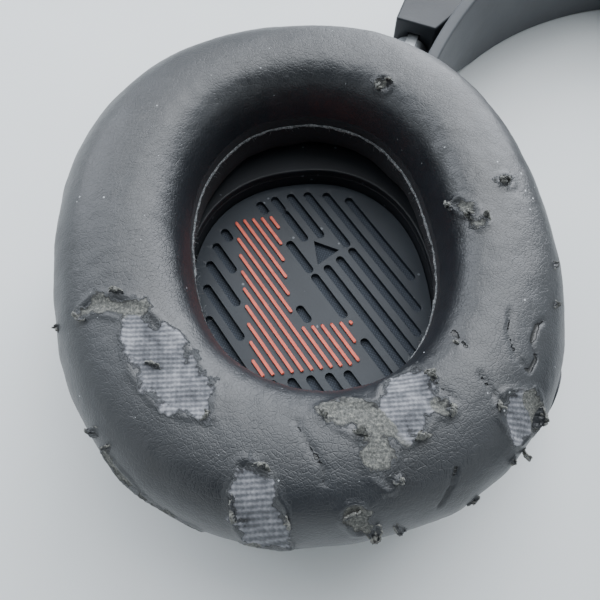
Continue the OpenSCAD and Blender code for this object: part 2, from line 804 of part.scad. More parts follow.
module mic_foam() {
    color("#101113") difference() {
        recess_strip(cover_inset - 0.8, boom_z - 0.4, boom_width + 0.7,
                     boom_sweep - foam_sweep, boom_sweep);
        recess_strip(boom_thickness + 0.2, boom_z - 0.1, boom_width + 0.2, boom_end - 8, boom_end);
        recess_strip(3.2, boom_z + boom_width / 2 - 1.6, 3.2, boom_end - 1, boom_end + 6.2);
    }
}

module mic_hub_screw() {
    color("#55585c") at_rim(-1, hub_turn, hub_path) {
        translate([0, 0, boom_z - 1]) cylinder(r = 1.8, h = 0.6);
    }
}

band_outer_shell();
band_spring_strip();
band_inner_liner();
head_pad();
slider_housing(-1);  // left_slider_housing
slider_housing(1);  // right_slider_housing
band_screws();
slider_bar(-1);  // left_slider_bar
slider_bar(1);  // right_slider_bar
swivel_pin(-1);  // left_swivel_pin
swivel_pin(1);  // right_swivel_pin
yoke(-1);  // left_yoke
yoke(1);  // right_yoke
tilt_pins(-1);  // left_tilt_pins
tilt_pins(1);  // right_tilt_pins
cup_shell(-1);  // left_cup_shell
cup_shell(1);  // right_cup_shell
outer_cover(-1);  // left_outer_cover
outer_cover(1);  // right_outer_cover
trim_ring(-1);  // left_trim_ring
trim_ring(1);  // right_trim_ring
baffle(-1);  // left_baffle
baffle(1);  // right_baffle
acoustic_cloth(-1);  // left_acoustic_cloth
acoustic_cloth(1);  // right_acoustic_cloth
grille_plate(-1);  // left_grille_plate
grille_plate(1);  // right_grille_plate
side_mark(-1);  // left_side_mark
side_mark(1);  // right_side_mark
driver_frame(-1);  // left_driver_frame
driver_frame(1);  // right_driver_frame
driver_magnet(-1);  // left_driver_magnet
driver_magnet(1);  // right_driver_magnet
diaphragm(-1);  // left_diaphragm
diaphragm(1);  // right_diaphragm
cushion_plate(-1);  // left_cushion_plate
cushion_plate(1);  // right_cushion_plate
ear_cushion(-1);  // left_ear_cushion
ear_cushion(1);  // right_ear_cushion
cup_screws(-1);  // left_cup_screws
cup_screws(1);  // right_cup_screws
main_circuit_board();
radio_circuit_board();
battery();
usb_port();
audio_socket();
volume_wheel();
balance_wheel();
wheel_shafts();
mute_button();
power_switch();
pairing_button();
mic_hub();
mic_boom();
mic_capsule();
mic_foam();
mic_hub_screw();
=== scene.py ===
import math

import bpy
import numpy as np
from mathutils import Matrix, Vector, noise
from mathutils.bvhtree import BVHTree


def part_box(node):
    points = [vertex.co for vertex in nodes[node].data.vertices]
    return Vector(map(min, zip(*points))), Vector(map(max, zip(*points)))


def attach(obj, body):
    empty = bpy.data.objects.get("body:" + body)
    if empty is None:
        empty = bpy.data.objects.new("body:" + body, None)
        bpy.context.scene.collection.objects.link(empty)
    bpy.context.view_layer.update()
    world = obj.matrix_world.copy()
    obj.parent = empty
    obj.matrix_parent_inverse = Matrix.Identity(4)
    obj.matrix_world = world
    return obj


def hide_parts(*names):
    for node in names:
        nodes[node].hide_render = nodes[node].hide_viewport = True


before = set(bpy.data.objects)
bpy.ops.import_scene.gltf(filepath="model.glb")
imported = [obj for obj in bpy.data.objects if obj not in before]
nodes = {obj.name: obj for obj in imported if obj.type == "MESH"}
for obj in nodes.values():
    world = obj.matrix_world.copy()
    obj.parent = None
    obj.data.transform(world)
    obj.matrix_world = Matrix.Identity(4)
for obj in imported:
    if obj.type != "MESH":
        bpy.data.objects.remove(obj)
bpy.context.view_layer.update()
MM = 0.001

# ---- Table, light and camera ----
# A smooth off-white laminate table top under soft light from a window side,
# seen from close above the left cup. The table stands for no part of the headset.

cup_low, cup_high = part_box("left_cup_shell")
cushion_low, cushion_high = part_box("left_ear_cushion")
LEFT_CUP = Vector(((cup_low[0] + cup_high[0]) / 2, (cup_low[1] + cup_high[1]) / 2, 0))
CUSHION_DEPTH = cushion_high[2] - cushion_low[2]
WIDEST = cushion_low[2] + CUSHION_DEPTH / 2

# The camera stands 117 mm above the middle of the left cushion's depth, and off towards
# the end of the cup that is away from the band
CAMERA_OFFSET = Vector((21.2, -57.6, 116.8)) * MM
LENS, SENSOR_WIDTH = 42, 36
camera_data = bpy.data.cameras.new("camera")
camera_data.lens = LENS
camera_data.sensor_width = SENSOR_WIDTH
camera_data.clip_start = 0.005
camera_object = bpy.data.objects.new("camera", camera_data)
bpy.context.collection.objects.link(camera_object)
CAMERA_TURN, CAMERA_RISE = math.radians(21), math.radians(65.9)
away = Vector((math.sin(CAMERA_TURN) * math.cos(CAMERA_RISE),
               -math.cos(CAMERA_TURN) * math.cos(CAMERA_RISE), math.sin(CAMERA_RISE)))
camera_object.location = Vector((LEFT_CUP.x, LEFT_CUP.y, WIDEST)) + CAMERA_OFFSET
camera_object.rotation_euler = (-away).to_track_quat("-Z", "Y").to_euler()
bpy.context.scene.camera = camera_object


def srgb(code):
    """Linear colour of an sRGB hex value."""
    parts = [int(code[i:i + 2], 16) / 255 for i in (1, 3, 5)]
    return (*[p / 12.92 if p <= 0.04045 else ((p + 0.055) / 1.055) ** 2.4 for p in parts], 1)


def add(tree, kind, links=None, **settings):
    """Adds a shader node. settings name its properties or input sockets; links name what feeds a socket."""
    made = tree.nodes.new(kind)
    for key, value in settings.items():
        if hasattr(made, key) and key not in made.inputs:
            setattr(made, key, value)
        else:
            made.inputs[key.replace("_", " ")].default_value = value
    for key, source in (links or {}).items():
        tree.links.new(source, made.inputs[key])
    return made


def ramp(tree, source, stops):
    """Colour ramp through (place, hex colour) stops."""
    made = add(tree, "ShaderNodeValToRGB", {"Fac": source})
    points = made.color_ramp.elements
    while len(points) < len(stops):
        points.new(0.5)
    for point, (place, code) in zip(points, stops):
        point.position = place
        point.color = srgb(code)
    return made.outputs["Color"]


# Sockets of a Mix node that blends colours
MIX_FACTOR, MIX_FIRST, MIX_SECOND, MIX_RESULT = 0, 6, 7, 2


def blend(tree, amount, first, second):
    """Colour between two others. Each is a hex colour or a socket; amount is a socket."""
    node = add(tree, "ShaderNodeMix", data_type="RGBA")
    tree.links.new(amount, node.inputs[MIX_FACTOR])
    for socket, value in ((node.inputs[MIX_FIRST], first), (node.inputs[MIX_SECOND], second)):
        if isinstance(value, str):
            socket.default_value = srgb(value)
        else:
            tree.links.new(value, socket)
    return node.outputs[MIX_RESULT]


def new_material(name, **settings):
    """An empty material with its shader, and the object's coordinates in metres."""
    made = bpy.data.materials.new(name)
    made.use_nodes = True
    tree = made.node_tree
    shader = tree.nodes["Principled BSDF"]
    for key, value in settings.items():
        shader.inputs[key.replace("_", " ")].default_value = value
    place = add(tree, "ShaderNodeTexCoord").outputs["Object"]
    return made, tree, shader, place


def laminate():
    """White laminate: faint mottling and a soft sheen, so it takes blurred grey shadows."""
    made, tree, shader, place = new_material("white_laminate", Roughness=0.5)
    mottle = add(tree, "ShaderNodeTexNoise", {"Vector": place}, Scale=14.0, Detail=3.0)
    tree.links.new(ramp(tree, mottle.outputs["Fac"], [(0.3, "#dfe3e4"), (0.7, "#e6e9ea")]),
                   shader.inputs["Base Color"])
    return made


bpy.ops.object.select_all(action="DESELECT")
bpy.ops.mesh.primitive_plane_add(size=3)
table_top = bpy.context.active_object
table_top.name = "table_top"
table_top.data.materials.append(laminate())

world = bpy.data.worlds.new("studio")
world.use_nodes = True
sky = world.node_tree
# Pale walls and ceiling all round, but for whoever leans over the table, who is dark
facing = add(sky, "ShaderNodeVectorMath", {0: add(sky, "ShaderNodeTexCoord").outputs["Generated"]},
             operation="DOT_PRODUCT")
leaning = Vector((0.24, -0.68, 0.69)).normalized()
facing.inputs[1].default_value = leaning
onlooker = add(sky, "ShaderNodeMapRange", {"Value": facing.outputs["Value"]}, interpolation_type="SMOOTHSTEP",
               From_Min=0.77, From_Max=0.95)
sky.links.new(ramp(sky, onlooker.outputs["Result"], [(0.0, "#e6edf1"), (1.0, "#1d242c")]),
              sky.nodes["Background"].inputs["Color"])
sky.nodes["Background"].inputs["Strength"].default_value = 1.1
bpy.context.scene.world = world


def soft_light(name, place, target, size, watts, colour):
    """Square area light at a place, aimed at a target."""
    data = bpy.data.lights.new(name, "AREA")
    data.size = size
    data.energy = watts
    data.color = srgb(colour)[:3]
    made = bpy.data.objects.new(name, data)
    bpy.context.collection.objects.link(made)
    made.location = place
    made.rotation_euler = (Vector(target) - Vector(place)).to_track_quat("-Z", "Y").to_euler()


middle = (LEFT_CUP.x, LEFT_CUP.y, WIDEST)
soft_light("window", (-0.9, 0.25, 0.6), middle, 0.7, 5.2, "#f1f6ff")
soft_light("ceiling", (-0.1, 0.5, 1.15), middle, 1.0, 13.0, "#f8fbff")
soft_light("far_window", (0.1, 1.15, 0.5), middle, 1.1, 21.0, "#f4f8ff")


# ---- Housings, yokes and shells ----
# Injection-moulded ABS with a fine spark-eroded texture, in near-black greys.
# The edges of every shell are slightly rounded, as a mould leaves them.

def fine_grain(tree, place, spacing, depth):
    """Bump of a spark-eroded mould: pits of one spacing, drawn coarse enough to show."""
    pits = add(tree, "ShaderNodeTexVoronoi", {"Vector": place}, Scale=1 / spacing)
    clouds = add(tree, "ShaderNodeTexNoise", {"Vector": place}, Scale=0.4 / spacing, Detail=4.0)
    height = add(tree, "ShaderNodeMath", {0: pits.outputs["Distance"], 1: clouds.outputs["Fac"]},
                 operation="ADD")
    return add(tree, "ShaderNodeBump", {"Height": height.outputs["Value"]},
               Strength=0.35, Distance=depth).outputs["Normal"]


def moulded_abs(name, dark, light, roughness, spacing=0.0006):
    """ABS: even grey with faint cloudiness, and patches that are a little glossier."""
    made, tree, shader, place = new_material(name, IOR=1.5)
    clouds = add(tree, "ShaderNodeTexNoise", {"Vector": place}, Scale=60.0, Detail=5.0, Roughness=0.6)
    tree.links.new(ramp(tree, clouds.outputs["Fac"], [(0.3, dark), (0.75, light)]),
                   shader.inputs["Base Color"])
    handling = add(tree, "ShaderNodeTexNoise", {"Vector": place}, Scale=35.0, Detail=6.0)
    rub = add(tree, "ShaderNodeMapRange", {"Value": handling.outputs["Fac"]},
              From_Min=0.3, From_Max=0.7, To_Min=roughness - 0.1, To_Max=roughness + 0.08)
    tree.links.new(rub.outputs["Result"], shader.inputs["Roughness"])
    tree.links.new(fine_grain(tree, place, spacing, 0.00003), shader.inputs["Normal"])
    return made


def finish_cad(names, material, edge=0.0004):
    """Gives CAD nodes a finish and rounds their edges by the mould's edge radius."""
    for name in names:
        piece = nodes[name]
        piece.data.materials.clear()
        piece.data.materials.append(material)
        weld = piece.modifiers.new("weld", "WELD")
        weld.merge_threshold = 0.000002
        if edge:
            bevel = piece.modifiers.new("edge", "BEVEL")
            bevel.width = edge
            bevel.segments = 2
            bevel.limit_method = "ANGLE"
            bevel.angle_limit = math.radians(35)
            bevel.harden_normals = False
        piece.data.shade_smooth()
        normals = piece.modifiers.new("normals", "WEIGHTED_NORMAL")
        normals.keep_sharp = True


both = ("left", "right")
housing_abs = moulded_abs("black_abs", "#24272c", "#2f3338", 0.48)
finish_cad([f"{s}_{n}" for s in both for n in ("slider_housing", "yoke", "cup_shell")]
           + ["band_outer_shell", "mic_hub"], housing_abs, 0.0007)

# ---- Outer covers ----
# The dish that closes the outside of each cup: ABS with a satin soft-touch coat,
# which rubs shiny where fingers hold it.

cover_abs = moulded_abs("soft_touch_abs", "#1c1e22", "#24272b", 0.56)
finish_cad([f"{s}_outer_cover" for s in both] + ["mic_boom"], cover_abs, 0.0008)

# ---- Headband liner ----
# A long smooth moulding down the inside of the band, semi-gloss from being wiped by hair.
# It is a lighter grey than the band's outer shell.

liner_abs = moulded_abs("smooth_abs", "#494c51", "#54575b", 0.42, 0.0012)
finish_cad(["band_inner_liner"], liner_abs, 0.0006)

# ---- Metal pieces ----
# Slider bars of satin anodised aluminium; pins and shafts of ground steel;
# a strip of rolled spring steel; blackened screws.


def metal(name, dark, light, roughness, stretch=(1, 1, 1)):
    """Bare metal: brushed along one direction, so its highlights are streaked."""
    made, tree, shader, place = new_material(name, Metallic=1.0)
    along = add(tree, "ShaderNodeMapping", {"Vector": place}, Scale=stretch)
    lines = add(tree, "ShaderNodeTexNoise", {"Vector": along.outputs["Vector"]}, Scale=900.0, Detail=3.0)
    tree.links.new(ramp(tree, lines.outputs["Fac"], [(0.3, dark), (0.7, light)]),
                   shader.inputs["Base Color"])
    spread = add(tree, "ShaderNodeMapRange", {"Value": lines.outputs["Fac"]},
                 To_Min=roughness - 0.08, To_Max=roughness + 0.1)
    tree.links.new(spread.outputs["Result"], shader.inputs["Roughness"])
    bump = add(tree, "ShaderNodeBump", {"Height": lines.outputs["Fac"]}, Strength=0.25, Distance=0.00002)
    tree.links.new(bump.outputs["Normal"], shader.inputs["Normal"])
    return made


finish_cad([f"{s}_slider_bar" for s in both],
           metal("satin_aluminium", "#9ea2a6", "#b4b8bb", 0.36, (1, 0.05, 1)), 0.0003)
finish_cad([f"{s}_{n}" for s in both for n in ("swivel_pin", "tilt_pins")] + ["wheel_shafts", "mic_capsule"],
           metal("ground_steel", "#b5b6b8", "#c9cacc", 0.28), 0.0002)
finish_cad(["band_spring_strip"], metal("spring_steel", "#7c7f85", "#94979c", 0.34, (0.1, 0.1, 1)), 0.0001)
finish_cad([f"{s}_cup_screws" for s in both] + ["band_screws", "mic_hub_screw"],
           metal("blackened_steel", "#2b2c2f", "#3c3e42", 0.4), 0.0002)
finish_cad(["usb_port"] + [f"{s}_driver_magnet" for s in both],
           metal("nickel_plate", "#b9b8b2", "#cfcdc6", 0.22), 0.0002)

# ---- Trim rings ----
# A thin ring of deep red polycarbonate on each cup.
# Its skin is glossy, and hairline scuffs dull it in places.


def tinted_polycarbonate():
    """Red polycarbonate: deep colour, glossy skin, hairline scuffs in the gloss."""
    made, tree, shader, place = new_material("red_polycarbonate", IOR=1.58, Coat_Weight=0.6)
    depth = add(tree, "ShaderNodeTexNoise", {"Vector": place}, Scale=160.0, Detail=4.0)
    tree.links.new(ramp(tree, depth.outputs["Fac"], [(0.3, "#7d1612"), (0.7, "#a3241b")]),
                   shader.inputs["Base Color"])
    scuffs = add(tree, "ShaderNodeTexNoise", {"Vector": place}, Scale=1400.0, Detail=2.0)
    spread = add(tree, "ShaderNodeMapRange", {"Value": scuffs.outputs["Fac"]}, To_Min=0.15, To_Max=0.4)
    tree.links.new(spread.outputs["Result"], shader.inputs["Roughness"])
    return made


finish_cad([f"{s}_trim_ring" for s in both], tinted_polycarbonate(), 0.0003)

# ---- Baffles, grille plates and cushion plates ----
# Matt black ABS mouldings inside the ear opening. The grille plate has rows of round-ended
# slots; dust and lint from the cushion lie on it.


def dusty_abs(name, dark, light, dust):
    """ABS under lint: dark satin plate with sparse pale specks."""
    made, tree, shader, place = new_material(name, IOR=1.5)
    clouds = add(tree, "ShaderNodeTexNoise", {"Vector": place}, Scale=90.0, Detail=6.0)
    base = ramp(tree, clouds.outputs["Fac"], [(0.3, dark), (0.7, light)])
    specks = add(tree, "ShaderNodeTexVoronoi", {"Vector": place}, Scale=520.0, Randomness=1.0)
    few = add(tree, "ShaderNodeTexNoise", {"Vector": place}, Scale=230.0, Detail=2.0)
    near = add(tree, "ShaderNodeMath", {0: specks.outputs["Distance"]}, operation="LESS_THAN")
    near.inputs[1].default_value = 0.16
    some = add(tree, "ShaderNodeMath", {0: few.outputs["Fac"]}, operation="GREATER_THAN")
    some.inputs[1].default_value = 0.62
    speck = add(tree, "ShaderNodeMath", {0: near.outputs["Value"], 1: some.outputs["Value"]},
                operation="MULTIPLY")
    amount = add(tree, "ShaderNodeMath", {0: speck.outputs["Value"]}, operation="MULTIPLY")
    amount.inputs[1].default_value = dust
    tree.links.new(blend(tree, amount.outputs["Value"], base, "#8d9298"), shader.inputs["Base Color"])
    shader.inputs["Roughness"].default_value = 0.5
    tree.links.new(fine_grain(tree, place, 0.0005, 0.00002), shader.inputs["Normal"])
    return made


finish_cad([f"{s}_{n}" for s in both for n in ("baffle", "cushion_plate")],
           dusty_abs("matt_black_abs", "#15181d", "#1d2026", 0.4), 0.0004)
finish_cad([f"{s}_grille_plate" for s in both],
           dusty_abs("slotted_abs", "#262c34", "#30373f", 0.7), 0.00035)

# ---- Acoustic cloths ----
# A thin woven polyester cloth, glued behind each grille plate to keep dust off the driver.
# It shows only down in the slots.


def acoustic_weave():
    """Plain weave: threads 0.5 mm apart each way, dull slate grey, seen down in the slots."""
    made, tree, shader, place = new_material("acoustic_polyester", Roughness=0.85)
    warp = add(tree, "ShaderNodeTexWave", {"Vector": place}, Scale=628.0, bands_direction="X")
    weft = add(tree, "ShaderNodeTexWave", {"Vector": place}, Scale=628.0, bands_direction="Y")
    threads = add(tree, "ShaderNodeMath", {0: warp.outputs["Fac"], 1: weft.outputs["Fac"]},
                  operation="MULTIPLY")
    tree.links.new(ramp(tree, threads.outputs["Value"], [(0.1, "#343a43"), (0.8, "#4d5560")]),
                   shader.inputs["Base Color"])
    bump = add(tree, "ShaderNodeBump", {"Height": threads.outputs["Value"]}, Strength=0.4, Distance=0.0001)
    tree.links.new(bump.outputs["Normal"], shader.inputs["Normal"])
    return made


finish_cad([f"{s}_acoustic_cloth" for s in both], acoustic_weave(), 0)

# ---- Side marks ----
# Raised bars in coral enamel on the grille plate.
# Together they read L on the left side and R on the right.


def coral_enamel():
    """Enamel: flat bright coral, a little darker in the patches where it has worn."""
    made, tree, shader, place = new_material("coral_enamel", IOR=1.5, Roughness=0.45)
    wear = add(tree, "ShaderNodeTexNoise", {"Vector": place}, Scale=700.0, Detail=4.0)
    tree.links.new(ramp(tree, wear.outputs["Fac"], [(0.25, "#e35c45"), (0.6, "#fb735b")]),
                   shader.inputs["Base Color"])
    bump = add(tree, "ShaderNodeBump", {"Height": wear.outputs["Fac"]}, Strength=0.2, Distance=0.00003)
    tree.links.new(bump.outputs["Normal"], shader.inputs["Normal"])
    return made


finish_cad([f"{s}_side_mark" for s in both], coral_enamel(), 0.0001)

# ---- Drivers ----
# Black glass-filled nylon frames, each with a thin polymer diaphragm.
# Both lie behind the grille plate and its cloth.

finish_cad([f"{s}_driver_frame" for s in both],
           moulded_abs("glass_filled_nylon", "#101114", "#191b1f", 0.5), 0.0002)
finish_cad([f"{s}_diaphragm" for s in both],
           moulded_abs("polymer_film", "#14161a", "#1d2025", 0.35, 0.002), 0)

# ---- Electronics ----
# Two circuit boards under green solder mask, and a lithium cell in a blue wrap.
# All three are inside the closed cups.

finish_cad(["main_circuit_board", "radio_circuit_board"],
           moulded_abs("solder_mask", "#123c24", "#1c5433", 0.3, 0.001), 0.0001)
finish_cad(["battery"], moulded_abs("cell_wrap", "#2e5f8f", "#3a6f9f", 0.3, 0.003), 0.0006)

# ---- Controls and sockets ----
# Soft-touch rubber over the wheels, buttons and switch.
# The audio socket is black nylon.

finish_cad(["volume_wheel", "balance_wheel", "mute_button", "pairing_button", "power_switch"],
           moulded_abs("soft_rubber", "#303338", "#3b3f44", 0.62, 0.0005), 0.00025)
finish_cad(["audio_socket"], moulded_abs("black_nylon", "#0d0e10", "#15161a", 0.45), 0.0002)

# ---- Microphone foam ----
# A sleeve of open-cell polyurethane foam over the end of the boom.
# It is black and matt, with cells that show as pits.


def open_cell_foam():
    """Foam: black, matt, and pitted by its cells, which are about 0.5 mm wide."""
    made, tree, shader, place = new_material("open_cell_foam", Roughness=0.95)
    shader.inputs["Sheen Weight"].default_value = 0.3
    cells = add(tree, "ShaderNodeTexVoronoi", {"Vector": place}, Scale=1 / 0.0005)
    tree.links.new(ramp(tree, cells.outputs["Distance"], [(0.1, "#0a0a0b"), (0.7, "#26272a")]),
                   shader.inputs["Base Color"])
    bump = add(tree, "ShaderNodeBump", {"Height": cells.outputs["Distance"]}, Strength=0.9, Distance=0.0003)
    tree.links.new(bump.outputs["Normal"], shader.inputs["Normal"])
    return made


finish_cad(["mic_foam"], open_cell_foam(), 0.0009)

# ---- Ear cushions ----
# Rings of slow foam wrapped in leatherette, a thin black polyurethane skin on a grey knitted
# backing, sewn along the inner lip. The skin is old: it has creased, cracked and peeled.

CUSHION_SLANT = math.radians(29)


def cushion_frame(side):
    """Matrix from a cushion's own frame in millimetres, long axis +Y, to the headset's frame."""
    low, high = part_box(("left" if side < 0 else "right") + "_ear_cushion")
    centre = Vector(((low[0] + high[0]) / 2, (low[1] + high[1]) / 2, 0))
    flip = Matrix.Diagonal((-side, 1, 1, 1))
    return (Matrix.Translation(centre) @ flip @ Matrix.Rotation(CUSHION_SLANT, 4, "Z")
            @ Matrix.Scale(MM, 4))


FOAM_PRESSURE = 4
CLOTH_FRAMES = 20


def swollen_copy(node, name, voxel, shrink, cap):
    """A copy of a soft solid, remeshed and blown up a little like foam in its cover."""
    made = nodes[node].copy()
    made.data = nodes[node].data.copy()
    made.name = made.data.name = name
    made.parent = None
    for key in list(made.keys()):
        del made[key]
    bpy.context.collection.objects.link(made)
    bpy.ops.object.select_all(action="DESELECT")
    made.select_set(True)
    bpy.context.view_layer.objects.active = made
    made.modifiers.clear()
    bpy.ops.object.mode_set(mode="EDIT")
    bpy.ops.mesh.select_all(action="SELECT")
    bpy.ops.mesh.remove_doubles(threshold=0.00001)
    bpy.ops.mesh.normals_make_consistent(inside=False)
    bpy.ops.object.mode_set(mode="OBJECT")
    made.data.remesh_voxel_size = voxel
    bpy.ops.object.voxel_remesh()
    smooth = made.modifiers.new("smooth", "SMOOTH")
    smooth.factor, smooth.iterations = 0.5, 6
    bpy.ops.object.modifier_apply(modifier="smooth")
    mesh = made.data
    before = np.array([v.co[:] for v in mesh.vertices])
    inward = np.array([v.normal[:] for v in mesh.vertices]) * shrink
    mesh.vertices.foreach_set("co", (before - inward).ravel())
    cloth = made.modifiers.new("cloth", "CLOTH")
    cloth.settings.quality = 5
    cloth.settings.use_pressure = True
    cloth.settings.uniform_pressure_force = FOAM_PRESSURE
    cloth.settings.effector_weights.gravity = 0
    for step in range(1, CLOTH_FRAMES + 1):
        bpy.context.scene.frame_set(step)
    evaluated = made.evaluated_get(bpy.context.evaluated_depsgraph_get())
    after = np.array([v.co[:] for v in evaluated.data.vertices])
    made.modifiers.clear()
    bpy.context.scene.frame_set(1)
    moved = after - before
    length = np.linalg.norm(moved, axis=1, keepdims=True)
    moved *= np.minimum(1, cap / np.maximum(length, 1e-9))
    mesh.vertices.foreach_set("co", (before + moved).ravel())
    mesh.update()
    return made


def subdivide(piece, levels):
    bpy.ops.object.select_all(action="DESELECT")
    piece.select_set(True)
    bpy.context.view_layer.objects.active = piece
    finer = piece.modifiers.new("finer", "SUBSURF")
    finer.levels = finer.render_levels = levels
    bpy.ops.object.modifier_apply(modifier="finer")


def trail_depth(points, trail):
    """How far inside a trail of (x, y, z, radius) beads each point lies, in millimetres."""
    best = np.full(len(points), -1e3)
    for start, end in zip(trail, trail[1:] or trail):
        a, b = np.array(start[:3]), np.array(end[:3])
        along = b - a
        share = np.clip((points - a) @ along / max(along @ along, 1e-9), 0, 1)
        radius = start[3] + (end[3] - start[3]) * share
        away_from = np.linalg.norm(points - (a + share[:, None] * along), axis=1)
        best = np.maximum(best, radius - away_from)
    return best


def on_surface(tree, x, y, top=80):
    """Point and normal of the cushion's upper side over (x, y), in its own frame."""
    hit, normal, _, _ = tree.ray_cast(Vector((x, y, top)), Vector((0, 0, -1)))
    return hit, normal


# Bare places of the left cushion: trails of (x, y, radius) in millimetres in its own frame.
# The first group shows the knit; the second shows the fuzzy underside of the skin.
LEFT_KNIT = [
    [(-30.5, -12.4, 1.2), (-29.0, -15.6, 3.0), (-26.6, -20.6, 4.4), (-24.3, -24.6, 4.4),
     (-21.6, -27.6, 3.2), (-19.9, -30.2, 1.2)],
    [(-14.8, -40.4, 1.4), (-14.2, -43.4, 3.0), (-13.6, -47.0, 4.0), (-12.6, -50.4, 3.4)],
    [(13.0, -28.6, 1.8), (11.8, -31.4, 4.2), (10.6, -34.6, 4.2), (9.6, -37.4, 2.0)],
    [(28.0, -36.6, 2.8), (29.6, -38.8, 2.8)],
]
LEFT_FUZZ = [
    [(-38.6, -10.6, 0.9), (-36.4, -9.6, 1.3), (-32.6, -10.8, 1.5), (-29.4, -12.6, 1.7)],
    [(-37.2, -33.2, 0.8), (-34.0, -38.0, 1.7), (-29.6, -42.8, 2.0), (-25.0, -46.2, 1.3)],
    [(-1.6, -32.8, 0.9), (1.2, -33.6, 2.2), (4.8, -35.2, 2.9), (8.4, -37.0, 2.5)],
    [(7.0, -38.4, 1.6), (5.6, -41.4, 1.9), (5.4, -43.6, 1.2), (6.2, -45.4, 0.5)],
    [(-15.6, -50.6, 1.5), (-14.4, -53.0, 1.4)],
    [(19.6, 29.6, 1.3)], [(36.9, 4.1, 1.0)], [(28.0, 1.6, 1.0), (29.8, -1.2, 0.7)], [(30.6, -3.4, 0.8)],
    [(0.4, -48.6, 1.7), (1.6, -50.4, 1.4)], [(31.2, -35.6, 2.0), (32.6, -38.4, 1.6)],
    [(14.8, -33.8, 1.0), (17.0, -35.4, 0.8)],
]
LEFT_CRACKS = [
    [(-6.2, -33.8), (-5.4, -36.6), (-4.6, -38.4), (-3.2, -41.6), (-3.4, -43.8)],
    [(31.0, -20.8), (29.8, -24.2), (30.0, -28.4), (31.8, -31.0), (33.6, -29.0), (33.4, -26.4),
     (35.0, -23.6), (36.4, -22.8)],
    [(-38.6, -33.8), (-35.4, -39.2), (-31.2, -44.6), (-27.4, -47.6), (-23.4, -47.8)],
    [(17.0, -44.2), (15.8, -46.6), (14.0, -48.8)],
    [(16.2, -30.4), (17.6, -33.0), (18.8, -34.2)],
    [(23.4, -30.6), (24.6, -33.4), (26.0, -35.6)],
    [(21.4, -22.6), (22.4, -25.6)],
]
RIGHT_KNIT = [
    [(-28.6, 8.4, 1.2), (-29.2, 4.0, 2.6), (-28.6, -0.6, 2.8), (-27.8, -4.0, 1.4)],
    [(9.0, -39.6, 1.2), (12.4, -38.6, 2.6), (15.6, -37.0, 1.6)],
]
RIGHT_FUZZ = [
    [(-27.4, -4.8, 1.3), (-26.0, -8.4, 1.0)], [(22.6, 26.4, 1.2), (24.4, 23.6, 0.9)],
    [(34.0, -8.0, 1.1)], [(-6.0, 43.6, 1.3), (-2.6, 44.4, 1.0)], [(31.0, -33.0, 1.5), (29.0, -36.0, 1.0)],
]
RIGHT_CRACKS = [
    [(33.0, 12.0), (34.0, 8.4), (33.2, 4.8)], [(-18.4, -36.0), (-15.0, -38.4), (-11.0, -39.0)],
    [(4.0, 45.0), (8.6, 44.2), (12.0, 42.2)],
]


